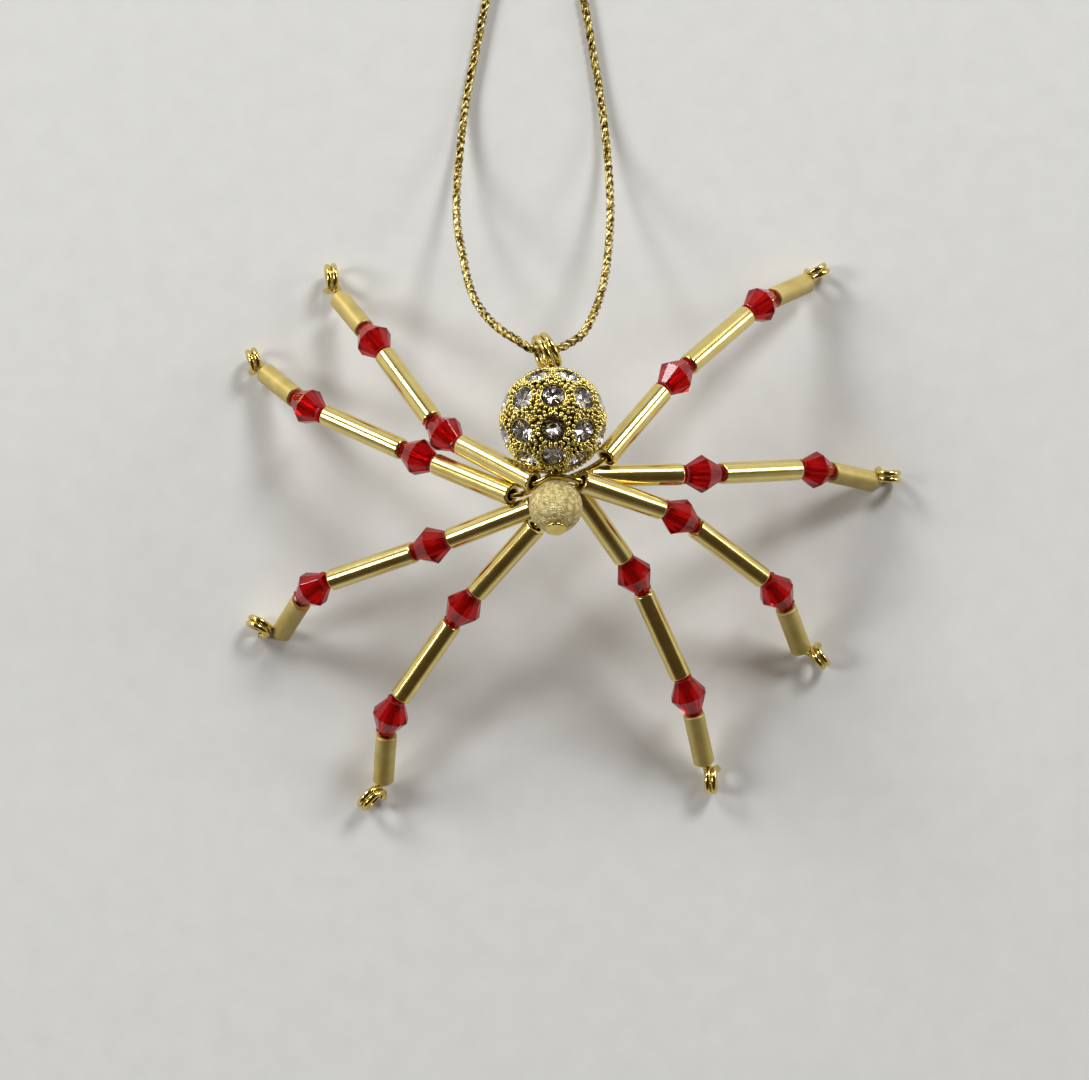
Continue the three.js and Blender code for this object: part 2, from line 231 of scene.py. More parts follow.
abdomenFinishAndShade = {
    # painted shade: the dark colour given to the recesses between the granules
    "recessPaintedShade": (0.34, 0.23, 0.05),
    "tips": [(0.3, (0.62, 0.50, 0.11)), (0.7, (0.93, 0.80, 0.33))],
    "roughness": (0.12, 0.28),
}


def makeAbdomenMaterial(finish, centre, lowRadius, highRadius):
    # painted shade: the colour darkens in the recesses, towards the ball's centre, and what stands
    # out of the ball keeps the bright gold
    material, tree, shader = startMaterial("castGoldWithShade")
    cloud = noiseField(tree, 1400)
    fromCentre = addNode(tree, "ShaderNodeVectorMath", operation="DISTANCE")
    plug(tree, objectPoint(tree), fromCentre.inputs[0])
    fromCentre.inputs[1].default_value = centre
    # painted shade mask, from the recesses up to the tops of the granules
    height = addNode(tree, "ShaderNodeMapRange", interpolation_type="SMOOTHSTEP")
    setSockets(height, From_Min=lowRadius, From_Max=highRadius)
    plug(tree, fromCentre.outputs["Value"], height.inputs["Value"])
    color = addNode(tree, "ShaderNodeMix", data_type="RGBA")
    plug(tree, height.outputs["Result"], color.inputs["Factor"])
    color.inputs[6].default_value = (*finish["recessPaintedShade"], 1)
    plug(tree, ramp(tree, cloud, finish["tips"]), color.inputs[7])
    plug(tree, color.outputs[2], shader.inputs["Base Color"])
    plug(tree, between(tree, cloud, *finish["roughness"]), shader.inputs["Roughness"])
    setSockets(shader, Metallic=1)
    return material


headFinish = {
    "colors": [(0.38, (0.50, 0.40, 0.14)), (0.60, (0.90, 0.77, 0.38))],
    "grainsPerMetre": 7000,
    "roughness": 0.34,
    "relief": 0.0001,
}


def makeHeadMaterial(finish):
    material, tree, shader = startMaterial("stardustGold")
    grains = addNode(tree, "ShaderNodeTexVoronoi", feature="F1")
    setSockets(grains, Scale=finish["grainsPerMetre"])
    plug(tree, objectPoint(tree), grains.inputs["Vector"])
    cloud = noiseField(tree, finish["grainsPerMetre"] / 3, 3)
    plug(tree, ramp(tree, cloud, finish["colors"]), shader.inputs["Base Color"])
    setSockets(shader, Metallic=0.75, Roughness=finish["roughness"])
    bump(tree, shader, grains.outputs["Distance"], 1, finish["relief"])
    return material


stoneFinish = {
    "colors": [(0, (0.95, 0.93, 0.93)), (1, (1, 0.98, 0.98))],
    "roughness": (0.0, 0.03),
    "ior": 1.58,
}


def makeStoneMaterial(finish):
    material, tree, shader = startMaterial("clearStone")
    haze = noiseField(tree, 900)
    plug(tree, between(tree, haze, *finish["roughness"]), shader.inputs["Roughness"])
    plug(tree, ramp(tree, haze, finish["colors"]), shader.inputs["Base Color"])
    setSockets(shader, Transmission_Weight=1, IOR=finish["ior"])
    return material


foilFinish = {
    "colors": [(0.2, (0.56, 0.52, 0.52)), (0.8, (0.88, 0.85, 0.84))],
    "roughness": (0.05, 0.2),
}


def makeFoilMaterial(finish):
    material, tree, shader = startMaterial("stoneFoil")
    haze = noiseField(tree, 1200)
    plug(tree, ramp(tree, haze, finish["colors"]), shader.inputs["Base Color"])
    plug(tree, between(tree, haze, *finish["roughness"]), shader.inputs["Roughness"])
    setSockets(shader, Metallic=1)
    return material


cordMaterial = makeCordMaterial(cordFinishAndShade)
wireMaterial = makeWireMaterial(wireFinish)
longTubeMaterial = makeTubeMaterial(longTubeFinish)
tipTubeShadedMaterial = makeTubeMaterial(tipTubeShadedFinish)
redMaterial = makeRedMaterial(redFinish)
headMaterial = makeHeadMaterial(headFinish)
stoneMaterial = makeStoneMaterial(stoneFinish)
foilMaterial = makeFoilMaterial(foilFinish)


# Reading the places of the beads and wires from the frame's nodes

weldGap = 2e-6


def mergedNode(name):
    form = bmesh.new()
    form.from_mesh(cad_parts[name].data)
    bmesh.ops.remove_doubles(form, verts=form.verts, dist=weldGap)
    form.verts.index_update()
    return form


def averagePoint(points):
    return sum(points, Vector()) / len(points)


def beadAxis(name):
    # centre, longest direction and length of a turned bead
    form = mergedNode(name)
    points = [vertex.co.copy() for vertex in form.verts]
    form.free()
    centre = averagePoint(points)
    axis = max((point - centre for point in points), key=lambda offset: offset.length)
    for _ in range(40):  # until the direction has settled
        spread = Vector()
        for point in points:
            spread += (point - centre) * (point - centre).dot(axis)
        axis = spread.normalized()
    reach = [(point - centre).dot(axis) for point in points]
    return centre, axis, max(reach) - min(reach)


def ringCentres(name, awayFromStart, wireSides, isBehind=None):
    # centre line of a rod, ring by ring, from the ring with the least value of a measure
    form = mergedNode(name)
    nearest = sorted(form.verts, key=lambda vertex: awayFromStart(vertex.co))
    ring = set(nearest[:wireSides])
    seen = set(ring)
    if isBehind:
        seen |= {vertex for vertex in form.verts if isBehind(vertex.co)}
    centres = []
    while len(ring) == wireSides:
        # in a fixed order, so that every run gives the same sums
        inOrder = sorted(ring, key=lambda vertex: vertex.index)
        centres.append(averagePoint([vertex.co for vertex in inOrder]))
        following = set()
        for vertex in ring:
            following |= {edge.other_vert(vertex) for edge in vertex.link_edges}
        ring = following - seen
        seen |= ring
    form.free()
    return centres


# Geometry node trees

def startTree(name, sizes):
    tree = bpy.data.node_groups.new(name, "GeometryNodeTree")
    face = tree.interface
    face.new_socket("Geometry", in_out="INPUT", socket_type="NodeSocketGeometry")
    face.new_socket("Geometry", in_out="OUTPUT", socket_type="NodeSocketGeometry")
    for label, kind in sizes:
        face.new_socket(label, in_out="INPUT", socket_type=kind)
    entry = addNode(tree, "NodeGroupInput")
    leave = addNode(tree, "NodeGroupOutput")
    return tree, entry, leave


def endTree(tree, entry, leave, geometry):
    # every tree ends in realised instances with the piece's own material
    realised = addNode(tree, "GeometryNodeRealizeInstances")
    painted = addNode(tree, "GeometryNodeSetMaterial")
    plug(tree, geometry, realised.inputs["Geometry"])
    plug(tree, realised.outputs["Geometry"], painted.inputs["Geometry"])
    plug(tree, entry.outputs["Material"], painted.inputs["Material"])
    plug(tree, painted.outputs["Geometry"], leave.inputs["Geometry"])


def applyTree(name, source, tree, values):
    # runs the tree on the source mesh and keeps the result as a plain mesh
    carrier = bpy.data.objects.new(name + "Carrier", source)
    scene.collection.objects.link(carrier)
    modifier = carrier.modifiers.new(tree.name, "NODES")
    modifier.node_group = tree
    for item in tree.interface.items_tree:
        if item.in_out == "INPUT" and item.name in values:
            modifier[item.identifier] = values[item.name]
    bpy.context.view_layer.update()
    shown = carrier.evaluated_get(bpy.context.evaluated_depsgraph_get())
    mesh = bpy.data.meshes.new_from_object(shown)
    mesh.name = name
    piece = bpy.data.objects.new(name, mesh)
    scene.collection.objects.link(piece)
    bpy.data.objects.remove(carrier)
    return piece


def pathMesh(name, points):
    mesh = bpy.data.meshes.new(name + "Path")
    edges = [(index, index + 1) for index in range(len(points) - 1)]
    mesh.from_pydata([tuple(point) for point in points], edges, [])
    return mesh


def curveToTube(tree, curve, profile):
    tube = addNode(tree, "GeometryNodeCurveToMesh")
    plug(tree, curve, tube.inputs["Curve"])
    plug(tree, profile, tube.inputs["Profile Curve"])
    setSockets(tube, Fill_Caps=True)
    return tube.outputs["Mesh"]


def circleLine(tree, radius, sides):
    circle = addNode(tree, "GeometryNodeCurvePrimitiveCircle")
    plug(tree, radius, circle.inputs["Radius"])
    if isinstance(sides, int):
        setSockets(circle, Resolution=sides)
    else:
        plug(tree, sides, circle.inputs["Resolution"])
    return circle.outputs["Curve"]


def steppedPath(tree, entry):
    # the path as a curve with points at even steps
    line = addNode(tree, "GeometryNodeMeshToCurve")
    stations = addNode(tree, "GeometryNodeResampleCurve", mode="LENGTH")
    plug(tree, entry.outputs["Geometry"], line.inputs["Mesh"])
    plug(tree, line.outputs["Curve"], stations.inputs["Curve"])
    plug(tree, entry.outputs["Step"], stations.inputs["Length"])
    return stations.outputs["Curve"]


def onPoints(tree, points, form, **others):
    placed = addNode(tree, "GeometryNodeInstanceOnPoints")
    plug(tree, points, placed.inputs["Points"])
    plug(tree, form, placed.inputs["Instance"])
    for name, source in others.items():
        plug(tree, source, placed.inputs[name])
    return placed.outputs["Instances"]


def makeWireTree():
    # a round rod on a smooth line through the points of the path
    sizes = [
        ("Radius", "NodeSocketFloat"),
        ("Sides", "NodeSocketInt"),
        ("Step", "NodeSocketFloat"),
        ("Material", "NodeSocketMaterial"),
    ]
    tree, entry, leave = startTree("roundWire", sizes)
    section = circleLine(tree, entry.outputs["Radius"], entry.outputs["Sides"])
    endTree(tree, entry, leave, curveToTube(tree, steppedPath(tree, entry), section))
    return tree


def calculate(tree, operation, first, second):
    node = addNode(tree, "ShaderNodeMath", operation=operation)
    for socket, value in zip(node.inputs, (first, second)):
        if isinstance(value, (int, float)):
            socket.default_value = value
        else:
            plug(tree, value, socket)
    return node.outputs[0]


def makeCordTree(plies):
    # plies wound round each other along the path
    sizes = [
        ("Ply Radius", "NodeSocketFloat"),
        ("Ply Offset", "NodeSocketFloat"),
        ("Turn Length", "NodeSocketFloat"),
        ("Step", "NodeSocketFloat"),
        ("Material", "NodeSocketMaterial"),
    ]
    tree, entry, leave = startTree("twistedCord", sizes)
    path = steppedPath(tree, entry)
    section = circleLine(tree, entry.outputs["Ply Radius"], 8)
    normal = addNode(tree, "GeometryNodeInputNormal")
    tangent = addNode(tree, "GeometryNodeInputTangent")
    across = addNode(tree, "ShaderNodeVectorMath", operation="CROSS_PRODUCT")
    plug(tree, tangent.outputs["Tangent"], across.inputs[0])
    plug(tree, normal.outputs["Normal"], across.inputs[1])
    along = addNode(tree, "GeometryNodeSplineParameter")
    turns = calculate(tree, "DIVIDE", along.outputs["Length"], entry.outputs["Turn Length"])
    joined = addNode(tree, "GeometryNodeJoinGeometry")
    for number in range(plies):
        angle = addNode(tree, "ShaderNodeMath", operation="MULTIPLY_ADD")
        plug(tree, turns, angle.inputs[0])
        angle.inputs[1].default_value = math.tau
        angle.inputs[2].default_value = math.tau * number / plies
        shifts = []
        for operation, way in (("COSINE", normal.outputs["Normal"]), ("SINE", across.outputs[0])):
            wave = addNode(tree, "ShaderNodeMath", operation=operation)
            plug(tree, angle.outputs[0], wave.inputs[0])
            reach = calculate(tree, "MULTIPLY", wave.outputs[0], entry.outputs["Ply Offset"])
            shift = addNode(tree, "ShaderNodeVectorMath", operation="SCALE")
            plug(tree, way, shift.inputs[0])
            plug(tree, reach, shift.inputs["Scale"])
            shifts.append(shift.outputs[0])
        total = addNode(tree, "ShaderNodeVectorMath", operation="ADD")
        plug(tree, shifts[0], total.inputs[0])
        plug(tree, shifts[1], total.inputs[1])
        moved = addNode(tree, "GeometryNodeSetPosition")
        plug(tree, path, moved.inputs["Geometry"])
        plug(tree, total.outputs[0], moved.inputs["Offset"])
        ply = curveToTube(tree, moved.outputs["Geometry"], section)
        plug(tree, ply, joined.inputs["Geometry"])
    endTree(tree, entry, leave, joined.outputs["Geometry"])
    return tree


def alignedTo(tree, attribute):
    axis = addNode(tree, "GeometryNodeInputNamedAttribute", data_type="FLOAT_VECTOR")
    setSockets(axis, Name=attribute)
    aligned = addNode(tree, "FunctionNodeAlignRotationToVector", axis="Z")
    plug(tree, axis.outputs["Attribute"], aligned.inputs["Vector"])
    return aligned.outputs["Rotation"]


def makeBeadTree():
    # one bead form on every point, turned to the point's axis
    sizes = [
        ("Bead", "NodeSocketObject"),
        ("Seed", "NodeSocketInt"),
        ("Material", "NodeSocketMaterial"),
    ]
    tree, entry, leave = startTree("beadsOnWire", sizes)
    bead = addNode(tree, "GeometryNodeObjectInfo")
    plug(tree, entry.outputs["Bead"], bead.inputs["Object"])
    turn = addNode(tree, "FunctionNodeRandomValue", data_type="FLOAT_VECTOR")
    setSockets(turn, Min=(0, 0, 0), Max=(0, 0, math.tau))
    plug(tree, entry.outputs["Seed"], turn.inputs["Seed"])
    spun = addNode(tree, "FunctionNodeRotateRotation", rotation_space="LOCAL")
    plug(tree, alignedTo(tree, "axis"), spun.inputs["Rotation"])
    plug(tree, turn.outputs["Value"], spun.inputs["Rotate By"])
    form = bead.outputs["Geometry"]
    placed = onPoints(tree, entry.outputs["Geometry"], form, Rotation=spun.outputs["Rotation"])
    endTree(tree, entry, leave, placed)
    return tree


wireTree = makeWireTree()
beadTree = makeBeadTree()


def placesMesh(name, places):
    mesh = bpy.data.meshes.new(name + "Places")
    mesh.from_pydata([tuple(place) for place, _ in places], [], [])
    axes = mesh.attributes.new("axis", "FLOAT_VECTOR", "POINT")
    for point, (_, axis) in zip(axes.data, places):
        point.vector = axis
    return mesh


def setBeads(name, places, formMesh, seed, material):
    form = bpy.data.objects.new(name + "Form", formMesh)
    beads = applyTree(name, placesMesh(name, places), beadTree, {
        "Bead": form,
        "Seed": seed,
        "Material": material,
    })
    bpy.data.objects.remove(form)
    return beads


def finishPiece(piece, slotName, *nodes):
    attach(piece, "root")
    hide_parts(*nodes)
    print(piece.name, len(piece.data.polygons), "faces")


def shadeSmooth(mesh, sharpDegrees=180):
    # faces smooth, with edges that bend more than the given angle left sharp
    mesh.polygons.foreach_set("use_smooth", [True] * len(mesh.polygons))
    mesh.set_sharp_from_angle(angle=math.radians(sharpDegrees))


print("cords")

cord = {
    "diameter": 0.001,
    "plies": 3,
    "plyRadius": 0.00025,
    "plyOffset": 0.00028,
    "turnLength": 0.0036,
    "step": 0.0003,
    "throughEye": (-0.00346, 0.01957, 0.02164),
    "clearOfEye": 0.00146,
    "leftRoute": [
        (-0.0064, 0.0206, 0.0209),
        (-0.0085, 0.0222, 0.0193),
        (-0.0105, 0.0246, 0.0168),
        (-0.0121, 0.028, 0.0134),
        (-0.0132, 0.0329, 0.0094),
        (-0.014, 0.0374, 0.0062),
        (-0.0142, 0.0419, 0.0036),
        (-0.0139, 0.0477, 0.0017),
        (-0.0132, 0.0543, 0.0007),
        (-0.0121, 0.0601, 0.00057),
        (-0.0107, 0.0671, 0.00057),
        (-0.008, 0.0774, 0.00057),
        (-0.006, 0.0851, 0.0006),
        (-0.0047, 0.09, 0.0014),
    ],
    "rightRoute": [
        (-0.0006, 0.0203, 0.021),
        (0.0008, 0.0214, 0.0199),
        (0.0019, 0.0234, 0.0185),
        (0.0029, 0.0261, 0.0162),
        (0.0037, 0.0296, 0.0128),
        (0.0043, 0.034, 0.0092),
        (0.0046, 0.0385, 0.006),
        (0.0046, 0.0428, 0.0035),
        (0.0043, 0.048, 0.0016),
        (0.0036, 0.0543, 0.0007),
        (0.0026, 0.0607, 0.00057),
        (0.0015, 0.0671, 0.00057),
        (-0.0006, 0.0774, 0.00057),
        (-0.0021, 0.0851, 0.0006),
        (-0.0033, 0.09, 0.0014),
    ],
}


cordTree = makeCordTree(cord["plies"])
stepsBetweenPoints = 6


def smoothRoute(points):
    # a line through the points with no sharp bends
    last = len(points) - 1
    ways = [
        (points[min(index + 1, last)] - points[max(index - 1, 0)]).normalized()
        for index in range(last + 1)
    ]
    route = [points[0]]
    for index in range(last):
        start, stop = points[index], points[index + 1]
        reach = (stop - start).length / 3
        leaving = start + ways[index] * reach
        arriving = stop - ways[index + 1] * reach
        route += interpolate_bezier(start, leaving, arriving, stop, stepsBetweenPoints + 1)[1:]
    return route


def makeTwist(name, path):
    return applyTree(name, pathMesh(name, path), cordTree, {
        "Ply Radius": cord["plyRadius"],
        "Ply Offset": cord["plyOffset"],
        "Turn Length": cord["turnLength"],
        "Step": cord["step"],
        "Material": cordMaterial,
    })


def makeStrand(name, node, side, route):
    middle = Vector(cord["throughEye"])
    inEye = [middle, middle + Vector((side * cord["clearOfEye"], 0, 0))]
    path = smoothRoute(inEye + [Vector(point) for point in route])
    strand = makeTwist(name, path)
    shadeSmooth(strand.data)
    finishPiece(strand, "cord", node)
    return strand, path


knot = {
    "wrapRadius": 0.0012,
    "wrapTurns": 1.5,
    "wrapPitch": 0.0021,
    "stepsPerTurn": 10,
    "leadIn": 0.0007,
    "tails": [
        [(-0.0026, 0.0965, 0.00057), (-0.0009, 0.1005, 0.00057)],
        [(-0.0052, 0.0965, 0.00057), (-0.0068, 0.1015, 0.00057)],
    ],
}


def makeKnot(strandEnds):
    # the two strands wind side by side round the knot, change sides and leave as tails
    low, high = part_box("cord_knot")
    middle = Vector((averagePoint(strandEnds).x, low.y + knot["leadIn"], high.z / 2))
    pieces = []
    for firstTurn, end, tail in zip((math.pi, 0), strandEnds, knot["tails"]):
        points = [end]
        for step in range(round(knot["wrapTurns"] * knot["stepsPerTurn"]) + 1):
            turns = step / knot["stepsPerTurn"]
            angle = firstTurn + math.tau * turns
            around = Vector((math.cos(angle), 0, math.sin(angle))) * knot["wrapRadius"]
            points.append(middle + around + Vector((0, knot["wrapPitch"] * turns, 0)))
        points += [Vector(point) for point in tail]
        pieces.append(makeTwist("cordKnotPart", smoothRoute(points)))
    whole = joinPieces("cordKnot", pieces)
    shadeSmooth(whole.data)
    finishPiece(whole, "cord", "cord_knot")
    return whole


def joinPieces(name, pieces):
    # several plain meshes as one piece, each face keeping its material
    form = bmesh.new()
    materials = []
    for piece in pieces:
        own = [slot.material for slot in piece.material_slots]
        firstFace = len(form.faces)
        form.from_mesh(piece.data)
        form.faces.ensure_lookup_table()
        for face in form.faces[firstFace:]:
            material = own[face.material_index]
            if material not in materials:
                materials.append(material)
            face.material_index = materials.index(material)
    mesh = bpy.data.meshes.new(name)
    form.to_mesh(mesh)
    form.free()
    for material in materials:
        mesh.materials.append(material)
    for piece in pieces:
        bpy.data.objects.remove(piece)
    whole = bpy.data.objects.new(name, mesh)
    scene.collection.objects.link(whole)
    return whole


leftStrand, leftPath = makeStrand("cordLeftStrand", "cord_left", -1, cord["leftRoute"])
rightStrand, rightPath = makeStrand("cordRightStrand", "cord_right", 1, cord["rightRoute"])
knotPiece = makeKnot([leftPath[-1], rightPath[-1]])


print("wires")

legWire = {"radius": 0.00035, "sides": 16, "step": 0.0002}
coreWire = {"radius": 0.0004, "sides": 18, "step": 0.0002}
cadWireSides = 6
coreBesideHead = 0.00015
longestSpan = 0.002
wirePairs = [("leg_8", "leg_3"), ("leg_1", "leg_6"), ("leg_7", "leg_2"), ("leg_5", "leg_4")]
headCentre = averagePoint(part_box("head_bead"))
abdomenCentre = averagePoint(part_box("abdomen_bead"))


def makeWire(name, points, sizes):
    wire = applyTree(name, pathMesh(name, smoothRoute(points)), wireTree, {
        "Radius": sizes["radius"],
        "Sides": sizes["sides"],
        "Step": sizes["step"],
        "Material": wireMaterial,
    })
    shadeSmooth(wire.data, 60)
    return wire


def spreadOut(points, longest):
    # long straight stretches get points of their own, so that the bends stay local
    filled = [points[0]]
    for first, second in zip(points, points[1:]):
        count = math.ceil((second - first).length / longest)
        filled += [first.lerp(second, part / count) for part in range(1, count + 1)]
    return filled


def fromCoreWire(point):
    # the core wire lies in one plane across X, a little beside the middle of the head
    return abs(point.x - headCentre.x + coreBesideHead)


def makeLegWires():
    for first, second in wirePairs:
        runs = []
        for leg in (first, second):
            runs.append(ringCentres(leg + "_wire", fromCoreWire, cadWireSides))
        points = spreadOut(runs[0][::-1] + runs[1][1:], longestSpan)
        wire = makeWire(f"{first}_to_{second}_wire", points, legWire)
        finishPiece(wire, "wire", first + "_wire", second + "_wire")


makeLegWires()


print("head and core wire")


def turnedForm(name, outline, sides, material):
    # a closed outline of (radius, height) points turned about the Z axis
    form = bmesh.new()
    rings = []
    for radius, height in outline:
        ring = []
        for side in range(sides):
            turn = math.tau * side / sides
            ring.append(form.verts.new((radius * math.cos(turn), radius * math.sin(turn), height)))
        rings.append(ring)
    for ring, following in zip(rings, rings[1:] + rings[:1]):
        for side in range(sides):
            beside = (side + 1) % sides
            form.faces.new((ring[side], ring[beside], following[beside], following[side]))
    bmesh.ops.remove_doubles(form, verts=form.verts, dist=1e-7)
    bmesh.ops.dissolve_degenerate(form, edges=form.edges, dist=1e-7)
    bmesh.ops.recalc_face_normals(form, faces=form.faces)
    mesh = bpy.data.meshes.new(name)
    form.to_mesh(mesh)
    form.free()
    mesh.materials.append(material)
    return mesh


def turnTo(axis, centre):
    # the place of a form whose Z axis follows the given axis
    return Matrix.Translation(centre) @ axis.to_track_quat("Z", "Y").to_matrix().to_4x4()


headBead = {"diameter": 0.006, "bore": 0.0013, "flat": 0.0024, "rings": 28, "sides": 48}
pinCap = {"diameter": 0.0024, "thickness": 0.0003, "gap": 0.00006, "sides": 40}


def flatHeight(sizes):
    return sizes["diameter"] / 2 * math.cos(math.asin(sizes["flat"] / sizes["diameter"]))


def roundBeadOutline(sizes):
    # a ball with a bore and a small flat round each end of it
    radius = sizes["diameter"] / 2
    edge = math.asin(sizes["flat"] / sizes["diameter"])
    outline = [(sizes["bore"] / 2, -flatHeight(sizes))]
    for ring in range(sizes["rings"] + 1):
        turn = edge + (math.pi - 2 * edge) * ring / sizes["rings"]
        outline.append((radius * math.sin(turn), -radius * math.cos(turn)))
    outline.append((sizes["bore"] / 2, flatHeight(sizes)))
    return outline


def makeHead(axis):
    mesh = turnedForm("headBead", roundBeadOutline(headBead), headBead["sides"], headMaterial)
    mesh.transform(turnTo(axis, headCentre))
    shadeSmooth(mesh, 40)
    head = bpy.data.objects.new("headBead", mesh)
    scene.collection.objects.link(head)
    finishPiece(head, "head", "head_bead")


def inFrontOfHead(point):
    return point.y < headCentre.y


def fromHeadRear(point):
    # least on the wire's ring at the rear of the head bead
    return abs((point - headCentre).length - headBead["diameter"] / 2) + inFrontOfHead(point)


def makeCoreWire():
    centres = ringCentres("core_wire", fromHeadRear, cadWireSides, inFrontOfHead)
    axis = (centres[0] - headCentre).normalized()
    front = headCentre - axis * (flatHeight(headBead) + pinCap["gap"] + pinCap["thickness"] / 2)
    wire = makeWire("corePin", spreadOut([front] + centres, longestSpan), coreWire)
    half = pinCap["thickness"] / 2
    radius = pinCap["diameter"] / 2
    outline = [(0, -half)]
    for step in range(7):
        turn = math.radians(-90 + 30 * step)
        outline.append((radius - half + half * math.cos(turn), half * math.sin(turn)))
    outline.append((0, half))
    capMesh = turnedForm("capForm", outline, pinCap["sides"], wireMaterial)
    capMesh.transform(turnTo(axis, front))
    shadeSmooth(capMesh, 60)
    cap = bpy.data.objects.new("capForm", capMesh)
    scene.collection.objects.link(cap)
    core = joinPieces("core_pin_with_eye", [wire, cap])
    finishPiece(core, "wire", "core_wire")
    return axis, centres


headAxis, coreCentres = makeCoreWire()
makeHead(headAxis)
abdomenAxis = (coreCentres[2] - coreCentres[1]).normalized()


print("abdomen")

abdomen = {
    "ballRadius": 0.0053,
    "stoneRadius": 0.00562,
    "granuleSeat": 0.00588,
    "socketDepth": 0.0011,
    "bore": 0.0014,
    "flat": 0.0022,
    "rings": 40,
    "sides": 64,
    "stoneRows": [(54, 6, 30), (19, 9, 0), (-19, 9, 0), (-54, 6, 0)],
    "girdleRadius": 0.00136,
    "girdleHeight": -0.00004,
    "girdleThickness": 0.00005,
    "tableRadius": 0.00078,
    "tableHeight": 0.00036,
    "culetHeight": -0.0009,
    "pavilionDepth": 0.55,
    "socketGap": 0.00004,
    "foilGap": 0.00006,
    "foilThickness": 0.00002,
    "bezelRadius": 0.00141,
    "bezelThickness": 0.00008,
    "beadRingRadius": 0.00169,
    "granuleRadius": 0.00024,
    "granulesPerStone": 18,
    "fillGap": 0.00045,
    "seed": 7,
}


def stonePlaces(sizes):
    # one point for each stone on the ball, with the way it faces
    turned = Vector((0, 1, 0)).rotation_difference(abdomenAxis)
    places = []
    for latitude, count, firstTurn in sizes["stoneRows"]:
        height = math.radians(latitude)
        for index in range(count):
            turn = math.radians(firstTurn + 360 * index / count)
            facing = Vector((
                math.sin(turn) * math.cos(height),
                math.sin(height),
                math.cos(turn) * math.cos(height),
            ))
            facing.rotate(turned)
            places.append((abdomenCentre + facing * sizes["stoneRadius"], facing))
    return places


